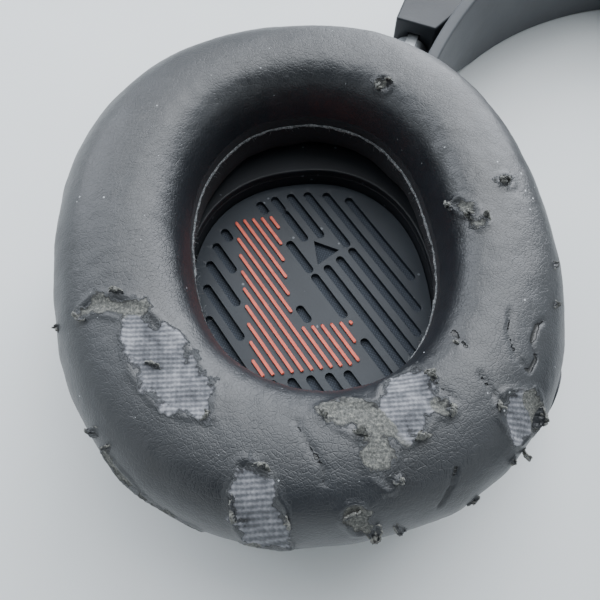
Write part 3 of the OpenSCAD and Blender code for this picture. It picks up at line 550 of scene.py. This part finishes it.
def leatherette():
    """Worn polyurethane leather: creased grain about 0.7 mm wide under a greasy sheen, sparse pale
    dust specks, and grey knit or felted fuzz wherever the skin has come off."""
    made, tree, shader, place = new_material("peeling_leatherette", IOR=1.5, Specular_IOR_Level=0.85)

    def maths(operation, first, second=None, third=None):
        node = add(tree, "ShaderNodeMath", operation=operation)
        for i, value in enumerate((first, second, third)):
            if value is None:
                continue
            if isinstance(value, (int, float)):
                node.inputs[i].default_value = value
            else:
                tree.links.new(value, node.inputs[i])
        return node.outputs["Value"]

    def texture(kind, scale, vector=place, **settings):
        return add(tree, kind, {"Vector": vector}, Scale=scale, **settings)

    def blended(amount, first, second):
        return blend(tree, amount, first, second)

    def between(value, low, high):
        return add(tree, "ShaderNodeMapRange", {"Value": value}, interpolation_type="SMOOTHSTEP",
                   From_Min=low, From_Max=high).outputs["Result"]

    def attribute(name):
        return add(tree, "ShaderNodeAttribute", attribute_name=name).outputs["Fac"]

    # Where the skin has come off; the ragged edge comes from noise finer than the mesh
    ragged = texture("ShaderNodeTexNoise", 900.0, Detail=6.0, Roughness=0.65).outputs["Fac"]
    coarse = texture("ShaderNodeTexNoise", 260.0, Detail=3.0).outputs["Fac"]
    jitter = maths("MULTIPLY_ADD", maths("SUBTRACT", ragged, 0.5), 3.0,
                   maths("MULTIPLY", maths("SUBTRACT", coarse, 0.5), 8.0))
    depth = maths("ADD", attribute("torn"), jitter)
    bare = between(depth, 0.0, 0.14)
    lip = maths("MULTIPLY", between(depth, -0.5, 0.0), maths("SUBTRACT", 1.0, bare))
    shade = maths("MULTIPLY", bare, maths("SUBTRACT", 1.0, between(depth, 0.1, 0.75)))
    fuzz = between(maths("ADD", attribute("fuzz"), maths("MULTIPLY", jitter, 0.4)), -0.2, 0.5)
    crack = between(maths("ADD", attribute("crack"), maths("MULTIPLY", jitter, 0.22)), -0.05, 0.12)
    lining = attribute("lining")

    # The skin: cells of grain stretched round the ring, finer pores, and long soft creases
    warp = add(tree, "ShaderNodeVectorMath", {0: place}, operation="ADD")
    wander = texture("ShaderNodeTexNoise", 320.0, Detail=2.0)
    small = add(tree, "ShaderNodeVectorMath", {0: wander.outputs["Color"]}, operation="SCALE")
    small.inputs["Scale"].default_value = 0.0006
    tree.links.new(small.outputs["Vector"], warp.inputs[1])
    cells = texture("ShaderNodeTexVoronoi", 1450.0, warp.outputs["Vector"], feature="DISTANCE_TO_EDGE")
    creases = texture("ShaderNodeTexVoronoi", 900.0, warp.outputs["Vector"], feature="DISTANCE_TO_EDGE")
    pores = texture("ShaderNodeTexNoise", 3200.0, Detail=3.0).outputs["Fac"]
    worn = between(texture("ShaderNodeTexNoise", 42.0, Detail=4.0).outputs["Fac"], 0.4, 0.62)
    grain = between(cells.outputs["Distance"], 0.0, 0.16)
    folds = between(creases.outputs["Distance"], 0.0, 0.09)
    wrinkled = maths("MULTIPLY_ADD", worn, 0.75, 0.25)
    clouds = texture("ShaderNodeTexNoise", 55.0, Detail=6.0, Roughness=0.6).outputs["Fac"]
    skin = ramp(tree, clouds, [(0.25, "#15181d"), (0.75, "#22262c")])
    # The grain lines and the long creases are painted darker: painted shade down in the recesses that the
    # bump sinks.
    skin = blended(maths("MULTIPLY", maths("SUBTRACT", 1.0, grain), 0.16), skin, "#15171b")
    skin = blended(maths("MULTIPLY", maths("MULTIPLY", maths("SUBTRACT", 1.0, folds), wrinkled), 0.2),
                   skin, "#14161a")
    skin = blended(maths("MULTIPLY", lip, 0.35), skin, "#5a5e62")

    # Dust: sparse pale specks that cling to the skin
    specks = texture("ShaderNodeTexVoronoi", 620.0)
    few = between(texture("ShaderNodeTexNoise", 95.0, Detail=3.0).outputs["Fac"], 0.42, 0.68)
    size = maths("MULTIPLY_ADD", few, 0.085, 0.035)
    rare = maths("GREATER_THAN", add(tree, "ShaderNodeSeparateColor",
                                     {"Color": specks.outputs["Color"]}).outputs["Red"], 0.8)
    dust = maths("MULTIPLY", maths("LESS_THAN", specks.outputs["Distance"], size), rare)
    skin = blended(maths("MULTIPLY", dust, 0.8), skin, "#b9bec2")

    # The knit: rows of stitches 0.8 mm apart, each stitch 0.75 mm long
    row_spacing, stitch_length = 0.0008, 0.00075
    turned = add(tree, "ShaderNodeMapping", {"Vector": place}, Rotation=(0, 0, math.radians(-24)))
    axes = add(tree, "ShaderNodeSeparateXYZ", {"Vector": turned.outputs["Vector"]})
    row = maths("SINE", maths("MULTIPLY", axes.outputs["Y"], 2 * math.pi / row_spacing))
    stitch = maths("SINE", maths("MULTIPLY_ADD", axes.outputs["X"], 2 * math.pi / stitch_length,
                                 maths("MULTIPLY", row, 0.9)))
    yarn = maths("MULTIPLY_ADD", row, 0.13, maths("MULTIPLY_ADD", stitch, 0.035, 0.5))
    yarn = maths("ADD", yarn, maths("MULTIPLY_ADD", maths("SUBTRACT", ragged, 0.5), 0.9,
                                    maths("MULTIPLY", maths("SUBTRACT", coarse, 0.5), 0.9)))
    knit = ramp(tree, yarn, [(0.15, "#34363b"), (0.5, "#63656b"), (0.85, "#9b9ca2")])
    felt = texture("ShaderNodeTexNoise", 2300.0, Detail=5.0, Roughness=0.75).outputs["Fac"]
    fuzzy = ramp(tree, felt, [(0.32, "#2e2f2f"), (0.52, "#61625f"), (0.72, "#9a9a91")])
    under = blended(fuzz, knit, fuzzy)
    under = blended(maths("MULTIPLY", shade, 0.75), under, "#16171a")

    # The lining below the sewn lip is a matt woven cloth
    threads = texture("ShaderNodeTexVoronoi", 1500.0).outputs["Distance"]
    cloth = ramp(tree, threads, [(0.1, "#0c0e13"), (0.8, "#191c24")])
    colour = blended(bare, skin, under)
    colour = blended(crack, colour, "#0b0c0e")
    colour = blended(lining, colour, cloth)
    tree.links.new(colour, shader.inputs["Base Color"])

    skin_gloss = maths("MULTIPLY_ADD", clouds, 0.16, maths("MULTIPLY_ADD", wrinkled, 0.08, 0.28))
    gloss = maths("MAXIMUM", skin_gloss, maths("MAXIMUM", maths("MULTIPLY", bare, 0.95),
                                               maths("MULTIPLY", lining, 0.9)))
    tree.links.new(gloss, shader.inputs["Roughness"])

    leather = maths("MULTIPLY_ADD", grain, 0.07, maths("MULTIPLY", pores, 0.04))
    leather = maths("ADD", leather, maths("MULTIPLY", maths("MULTIPLY", folds, wrinkled), 0.085))
    leather = maths("ADD", leather, maths("MULTIPLY_ADD", lip, 0.5, 1.6))
    bare_height = maths("MULTIPLY_ADD", yarn, 0.55, maths("MULTIPLY", felt, 0.5))
    height = add(tree, "ShaderNodeMix", {0: bare}, data_type="FLOAT")
    tree.links.new(leather, height.inputs[2])
    tree.links.new(bare_height, height.inputs[3])
    sunk = maths("SUBTRACT", height.outputs[0], maths("MULTIPLY", crack, 1.4))
    bump = add(tree, "ShaderNodeBump", {"Height": sunk}, Strength=0.8, Distance=0.00034)
    tree.links.new(bump.outputs["Normal"], shader.inputs["Normal"])
    return made


skin_material = leatherette()
# Depth, in millimetres, far enough outside every bare place for the skin to be whole
UNWORN = -9.0


def store(mesh, name, values):
    mesh.attributes.new(name, "FLOAT", "POINT").data.foreach_set("value", values.astype(np.float32))


CRACK_RADIUS = 0.14
SHOULDER_RADIUS, SHOULDER_WIDTH = 33, 12


def worn_cushion(side, knit, fuzz, cracks):
    """The whole cushion: swollen, creased, and sunk where its skin has come off."""
    name = ("left" if side < 0 else "right") + "_ear_cushion"
    piece = swollen_copy(name, name + "_worn", voxel=0.005, shrink=0.0002, cap=0.0022)
    subdivide(piece, 3)
    mesh = piece.data
    own = cushion_frame(side)
    back = np.array(own.inverted())
    world_points = np.array([v.co[:] for v in mesh.vertices])
    points = world_points @ back[:3, :3].T + back[:3, 3]
    normals = np.array([v.normal[:] for v in mesh.vertices]) @ back[:3, :3].T * MM
    faces = [p.vertices[:] for p in mesh.polygons]
    widest = WIDEST / MM
    tree = BVHTree.FromPolygons([Vector(p) for p in points], faces)

    def lifted(trail):
        beads = []
        for bead in trail:
            hit, _ = on_surface(tree, bead[0], bead[1])
            z = hit.z if hit else widest
            beads.append((bead[0], bead[1], z, bead[2] if len(bead) > 2 else CRACK_RADIUS))
        return beads

    deep = [trail_depth(points, lifted(t)) for t in knit]
    felted = [trail_depth(points, lifted(t)) for t in fuzz]
    lines = [trail_depth(points, lifted(t)) for t in cracks]
    knit_depth, fuzz_depth = np.max(deep, axis=0), np.max(felted, axis=0)
    torn, crack = np.maximum(knit_depth, fuzz_depth), np.max(lines, axis=0)

    # Long soft creases run round the ring, strongest on its inner shoulder
    rise = np.zeros(len(points))
    for i, p in enumerate(points):
        turn = math.atan2(p[1], p[0])
        reach = math.hypot(p[0], p[1])
        spot = Vector((math.cos(turn) * 9, math.sin(turn) * 9, reach * 0.22))
        shoulder = 0.35 + 0.65 * max(0.0, 1 - abs(reach - SHOULDER_RADIUS) / SHOULDER_WIDTH)
        rise[i] = (noise.fractal(spot, 0.6, 2.1, 4) * 0.13 * shoulder
                   + noise.noise(Vector(p) * 0.06) * 0.2
                   + noise.fractal(Vector(p) * 0.9, 0.7, 2.0, 3) * 0.03)
    sink = -0.45 * np.clip(torn / 0.9, 0, 1)
    curl = 0.32 * np.clip(1 - np.abs(torn + 0.45) / 0.7, 0, 1)
    split = -0.5 * np.clip((crack + 0.35) / 0.45, 0, 1)
    moved = points + normals * (rise + sink + curl + split)[:, None]
    inward = -(normals[:, 0] * points[:, 0] + normals[:, 1] * points[:, 1]) \
        / np.maximum(np.hypot(points[:, 0], points[:, 1]), 1e-6)
    lining = np.clip((inward - 0.2) / 0.3, 0, 1) * np.clip((widest - points[:, 2]) / 1.2 + 0.5, 0, 1)
    forward = np.array(own)
    mesh.vertices.foreach_set("co", (moved @ forward[:3, :3].T + forward[:3, 3]).ravel())
    store(mesh, "torn", torn * (1 - lining) + UNWORN * lining)
    store(mesh, "fuzz", fuzz_depth - knit_depth)
    store(mesh, "crack", crack)
    store(mesh, "lining", lining)
    mesh.materials.clear()
    mesh.materials.append(skin_material)
    mesh.shade_smooth()
    mesh.update()
    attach(piece, ("left" if side < 0 else "right") + "_cup")
    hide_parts(name)
    return BVHTree.FromPolygons([Vector(p) for p in moved], faces)


left_surface = worn_cushion(-1, LEFT_KNIT, LEFT_FUZZ, LEFT_CRACKS)
right_surface = worn_cushion(1, RIGHT_KNIT, RIGHT_FUZZ, RIGHT_CRACKS)

# ---- Lip seams ----
# Where the leatherette meets the cloth lining it is sewn down over a cord. The skin has worn off
# the cord, which is now a frayed grey bead of yarn round the ear opening.

SEAM_TURNS = 720
SEAM_ROUND = 10
SEAM_SEARCH_STEP = 0.6
FIBRES = 260
FIBRE_ROOT, FIBRE_TIP = 0.05, 0.015
# Below the middle of the opening the yarn is gone up to this turn, then thickens over the fade
YARN_GONE_TO, YARN_FADE = -118, 16


def frayed_yarn():
    """Spun polyester yarn: pale grey fluff, with painted shade darkening the hollows between its strands."""
    made, tree, shader, place = new_material("frayed_yarn", Roughness=0.9, Sheen_Weight=0.3)
    strands = add(tree, "ShaderNodeTexNoise", {"Vector": place}, Scale=2600.0, Detail=5.0, Roughness=0.7)
    # The dark end of this ramp is painted shade in the hollows, where the bump is lowest.
    tree.links.new(ramp(tree, strands.outputs["Fac"],
                        [(0.35, "#26282b"), (0.52, "#76797c"), (0.68, "#b4b7b8")]),
                   shader.inputs["Base Color"])
    bump = add(tree, "ShaderNodeBump", {"Height": strands.outputs["Fac"]}, Strength=0.8, Distance=0.0003)
    tree.links.new(bump.outputs["Normal"], shader.inputs["Normal"])
    return made


yarn_material = frayed_yarn()


def seam_path(surface):
    """Points and outward directions of the narrowest line of the opening, in the cushion's frame."""
    path = []
    for i in range(SEAM_TURNS):
        turn = 2 * math.pi * i / SEAM_TURNS
        out = Vector((math.cos(turn), math.sin(turn), 0))
        best = None
        for rise in range(-5, 5):
            hit = surface.ray_cast(Vector((1, 2, WIDEST / MM + rise * SEAM_SEARCH_STEP)), out)
            if hit[0] and (best is None or hit[3] < best[1] - 0.02):
                best = (hit[0], hit[3])
        path.append((best[0], out))
    return path


def yarn_left(spot):
    """Share of the yarn that is left at a place on the rim of the opening."""
    if spot.y >= 0:
        return 1
    turn = math.degrees(math.atan2(spot.y, spot.x))
    return min(1, max(0, (turn - YARN_GONE_TO) / YARN_FADE))


def lip_seam(side, surface):
    """A bead swept round the opening, thick and thin as its yarn is worn, with loose fibres."""
    name = "left" if side < 0 else "right"
    path = seam_path(surface)
    bpy.ops.object.select_all(action="DESELECT")
    bpy.ops.mesh.primitive_torus_add(major_segments=SEAM_TURNS, minor_segments=SEAM_ROUND,
                                     major_radius=1, minor_radius=0.2)
    bead = bpy.context.active_object
    bead.name = bead.data.name = name + "_lip_seam"
    own = cushion_frame(side)
    for vertex in bead.data.vertices:
        x, y, z = vertex.co
        i = round(math.atan2(y, x) / (2 * math.pi) * SEAM_TURNS) % SEAM_TURNS
        spot = path[i][0]
        ahead = path[(i + 4) % SEAM_TURNS][0] - path[(i - 4) % SEAM_TURNS][0]
        round_turn = math.atan2(z, math.hypot(x, y) - 1)
        strand = math.sin(round_turn * 2 + i * 0.5) * 0.07
        uneven = 0.16 * noise.noise(spot * 0.35) + 0.09 * noise.noise(spot * 1.9)
        thick = 0.05 + yarn_left(spot) * (0.26 + uneven + strand)
        up = Vector((0, 0, 1))
        across = ahead.normalized().cross(up)
        place = spot + (across * math.cos(round_turn) + up * math.sin(round_turn)) * thick
        vertex.co = own @ place
    fibres = []
    state = np.random.default_rng(5 if side < 0 else 6)
    for _ in range(FIBRES):
        spot, out = path[int(state.integers(SEAM_TURNS))]
        bpy.ops.mesh.primitive_cone_add(vertices=3, radius1=FIBRE_ROOT, radius2=FIBRE_TIP, depth=1)
        hair = bpy.context.active_object
        lean = Vector(state.normal(0, 1, 3)) * 0.9 - out * 1.3
        lean.normalize()
        length = 0.5 + 1.1 * state.random()
        turn = lean.to_track_quat("Z", "Y").to_matrix().to_4x4()
        stretch = Matrix.Diagonal((1, 1, length, 1))
        hair.data.transform(own @ Matrix.Translation(spot + lean * length * 0.45) @ turn @ stretch)
        fibres.append(hair)
    bpy.ops.object.select_all(action="DESELECT")
    for hair in fibres:
        hair.matrix_world = Matrix.Identity(4)
        hair.select_set(True)
    bead.select_set(True)
    bpy.context.view_layer.objects.active = bead
    bpy.ops.object.join()
    bead.data.materials.clear()
    bead.data.materials.append(yarn_material)
    bead.data.shade_smooth()
    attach(bead, name + "_cup")


lip_seam(-1, left_surface)
lip_seam(1, right_surface)

# ---- Flakes of skin ----
# Where the skin tore it still hangs on by an edge: curled scraps about 0.3 mm thick,
# leather on one side and felted backing on the other.

# Each flake: place (x, y), heading in degrees, length, width, curl in degrees
LEFT_FLAKES = [
    (19.4, 30.4, 230, 2.6, 2.8, 120), (20.6, 28.6, 70, 2.0, 1.8, 80),
    (37.6, 4.6, 200, 2.4, 2.4, 130), (36.2, 3.0, 60, 1.8, 1.6, 90),
    (27.4, 2.0, 190, 2.8, 2.2, 110), (29.8, -2.2, 150, 2.6, 2.6, 130), (31.0, -3.8, 40, 2.4, 1.8, 100),
    (-43.8, -10.9, 170, 1.6, 2.2, 30), (-37.2, -30.8, 170, 3.2, 3.0, 40), (-35.6, -33.8, 130, 2.0, 2.2, 40),
    (-38.4, -11.4, 200, 2.0, 2.8, 100), (-33.0, -9.0, 80, 1.8, 3.4, 120),
    (-20.4, -30.6, 310, 2.2, 2.6, 120), (-27.8, -22.6, 60, 1.6, 4.0, 110),
    (-16.6, -45.2, 180, 2.2, 5.4, 100), (-12.6, -40.6, 60, 2.0, 3.0, 120), (-10.6, -47.6, 10, 2.2, 4.4, 120),
    (-0.6, -33.4, 200, 2.6, 3.2, 140), (3.4, -36.4, 250, 2.8, 3.8, 130), (7.2, -43.6, 300, 2.6, 2.2, 120),
    (14.8, -30.4, 20, 3.6, 3.6, 150), (16.4, -34.8, 330, 3.8, 3.4, 130), (12.2, -38.6, 280, 2.2, 3.4, 110),
    (26.4, -36.0, 170, 2.2, 3.0, 110), (31.6, -37.4, 340, 3.4, 4.4, 140), (30.8, -41.0, 290, 2.6, 2.4, 90),
    (0.2, -49.4, 100, 3.0, 4.6, 70), (3.0, -50.2, 250, 2.8, 3.8, 45), (8.6, -50.6, 250, 1.8, 5.2, 30),
    (19.8, -48.2, 300, 1.8, 3.2, 30), (26.8, -43.0, 310, 1.8, 2.6, 30),
    (41.4, -12.0, 350, 1.4, 2.4, 30), (39.2, -19.4, 340, 1.4, 2.2, 30), (21.7, -23.7, 250, 1.6, 1.6, 90),
]
RIGHT_FLAKES = [
    (-28.2, 9.0, 110, 2.0, 2.6, 110), (-26.6, 2.0, 20, 2.0, 4.0, 120), (-27.6, -6.0, 260, 2.4, 2.4, 130),
    (23.4, 27.6, 60, 2.0, 2.2, 110), (34.4, -7.4, 30, 1.8, 2.0, 100), (-4.2, 44.6, 90, 2.2, 3.0, 80),
    (12.0, -37.4, 120, 2.0, 3.6, 120), (17.0, -36.2, 330, 2.4, 2.4, 130), (31.4, -34.0, 300, 2.6, 2.8, 120),
]


def felted_backing():
    """The underside of the skin: short grey fluff torn from the knit."""
    made, tree, shader, place = new_material("felted_backing", Roughness=0.95, Sheen_Weight=0.2)
    fluff = add(tree, "ShaderNodeTexNoise", {"Vector": place}, Scale=2300.0, Detail=6.0, Roughness=0.75)
    tree.links.new(ramp(tree, fluff.outputs["Fac"],
                        [(0.32, "#38393a"), (0.52, "#6c6d69"), (0.72, "#a3a299")]),
                   shader.inputs["Base Color"])
    bump = add(tree, "ShaderNodeBump", {"Height": fluff.outputs["Fac"]}, Strength=0.9, Distance=0.0003)
    tree.links.new(bump.outputs["Normal"], shader.inputs["Normal"])
    return made


felt_material = felted_backing()
FLAKE_THICKNESS = 0.00028
FLAKE_GRID = 18


def flake(own, surface, x, y, heading, length, width, curl):
    """One scrap: a small grid bent up about its root, with a ragged outline, then given thickness."""
    spot, normal = on_surface(surface, x, y)
    if spot is None:
        spot, normal, _, _ = surface.find_nearest(Vector((x, y, WIDEST / MM)))
    direction = Vector((math.cos(math.radians(heading)), math.sin(math.radians(heading)), 0))
    ahead = (direction - normal * direction.dot(normal)).normalized()
    across = normal.cross(ahead)
    bpy.ops.object.select_all(action="DESELECT")
    bpy.ops.mesh.primitive_grid_add(x_subdivisions=FLAKE_GRID, y_subdivisions=FLAKE_GRID, size=2)
    piece = bpy.context.active_object
    for vertex in piece.data.vertices:
        u, v = (vertex.co.x + 1) / 2, vertex.co.y
        key = Vector((x, y, 0)) * 0.7
        ragged = 0.75 + 0.5 * noise.noise(key + Vector((u * 2.5, v, 3))) + 0.35 * noise.noise(
            key + Vector((u * 9, math.copysign(1, v) * 2, 7)))
        narrow = (1 - 0.75 * u ** 2.2) * ragged
        tip = 1 + 0.35 * noise.noise(key + Vector((0, v * 3.1, 5)))
        turn = math.radians(curl) * (1 + 0.5 * noise.noise(key + Vector((v * 1.4, 0, 11))))
        radius = length * tip / turn
        forward = radius * math.sin(turn * u)
        lift = radius * (1 - math.cos(turn * u))
        crumple = 0.5 * noise.noise(key + Vector((u * 2.2, v * 2.2, 17))) + 0.25 * noise.noise(
            key + Vector((u * 6, v * 6, 23)))
        place = (spot + ahead * forward + across * (v * width / 2 * narrow + crumple * u * 0.6)
                 + normal * (lift * 0.75 + crumple * (0.25 + 0.75 * u) + 0.12 - 0.3 * (1 - u)))
        vertex.co = own @ place
    for material in (skin_material, felt_material, felt_material):
        piece.data.materials.append(material)
    for name in ("torn", "crack"):
        store(piece.data, name, np.full(len(piece.data.vertices), UNWORN))
    wall = piece.modifiers.new("wall", "SOLIDIFY")
    wall.thickness = FLAKE_THICKNESS
    wall.offset = -1
    wall.material_offset = 1
    wall.material_offset_rim = 2
    bpy.ops.object.modifier_apply(modifier="wall")
    piece.data.shade_smooth()
    return piece


def flakes(side, surface, scraps):
    """All the scraps of one cushion, joined."""
    name = "left" if side < 0 else "right"
    own = cushion_frame(side)
    made = [flake(own, surface, *scrap) for scrap in scraps]
    bpy.ops.object.select_all(action="DESELECT")
    for piece in made:
        piece.select_set(True)
    bpy.context.view_layer.objects.active = made[0]
    bpy.ops.object.join()
    made[0].name = made[0].data.name = name + "_skin_flakes"
    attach(made[0], name + "_cup")


flakes(-1, left_surface, LEFT_FLAKES)
flakes(1, right_surface, RIGHT_FLAKES)

# ---- Head pad ----
# A long foam pad in soft leatherette, glued under the band and quilted by four sewn channels.


def pad_leather():
    """Soft leatherette: fine matt grain, with painted shade darkening it down in the sewn channels."""
    made, tree, shader, place = new_material("pad_leatherette", IOR=1.5)
    cells = add(tree, "ShaderNodeTexVoronoi", {"Vector": place}, Scale=1300.0, feature="DISTANCE_TO_EDGE")
    clouds = add(tree, "ShaderNodeTexNoise", {"Vector": place}, Scale=60.0, Detail=5.0)
    sewn = add(tree, "ShaderNodeAttribute", attribute_name="sewn")
    skin = ramp(tree, clouds.outputs["Fac"], [(0.3, "#23262a"), (0.7, "#303439")])
    # The sewn mask paints shade: near-black colour along the bottom of each channel groove.
    tree.links.new(blend(tree, sewn.outputs["Fac"], skin, "#0e0f12"), shader.inputs["Base Color"])
    gloss = add(tree, "ShaderNodeMapRange", {"Value": clouds.outputs["Fac"]}, To_Min=0.38, To_Max=0.55)
    tree.links.new(gloss.outputs["Result"], shader.inputs["Roughness"])
    bump = add(tree, "ShaderNodeBump", {"Height": cells.outputs["Distance"]}, Strength=0.4, Distance=0.0002)
    tree.links.new(bump.outputs["Normal"], shader.inputs["Normal"])
    return made


head_cushion = swollen_copy("head_pad", "head_pad_sewn", voxel=0.004, shrink=0.0007, cap=0.0015)
subdivide(head_cushion, 2)
# The channels fan out from a centre 78 mm below the top of the pad
PAD_TOP_TO_CENTRE = 0.078
CHANNEL_TURNS = (-16.8, -5.6, 5.6, 16.8)
CHANNEL_DEPTH = 0.0011
fan_centre_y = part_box("head_pad")[1][1] - PAD_TOP_TO_CENTRE
pad_points = np.array([v.co[:] for v in head_cushion.data.vertices])
pad_normals = np.array([v.normal[:] for v in head_cushion.data.vertices])
pad_turn = np.degrees(np.arctan2(pad_points[:, 0], pad_points[:, 1] - fan_centre_y))
channel = np.min([np.abs(pad_turn - at) for at in CHANNEL_TURNS], axis=0)
groove = np.exp(-(channel / 0.9) ** 2)
pad_points -= pad_normals * (groove * CHANNEL_DEPTH)[:, None]
head_cushion.data.vertices.foreach_set("co", pad_points.ravel())
# The sewn mask marks the bottom of each groove, where the pad's material paints shade.
store(head_cushion.data, "sewn", np.exp(-(channel / 0.35) ** 2))
head_cushion.data.materials.clear()
head_cushion.data.materials.append(pad_leather())
head_cushion.data.shade_smooth()
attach(head_cushion, "headband")
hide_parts("head_pad")
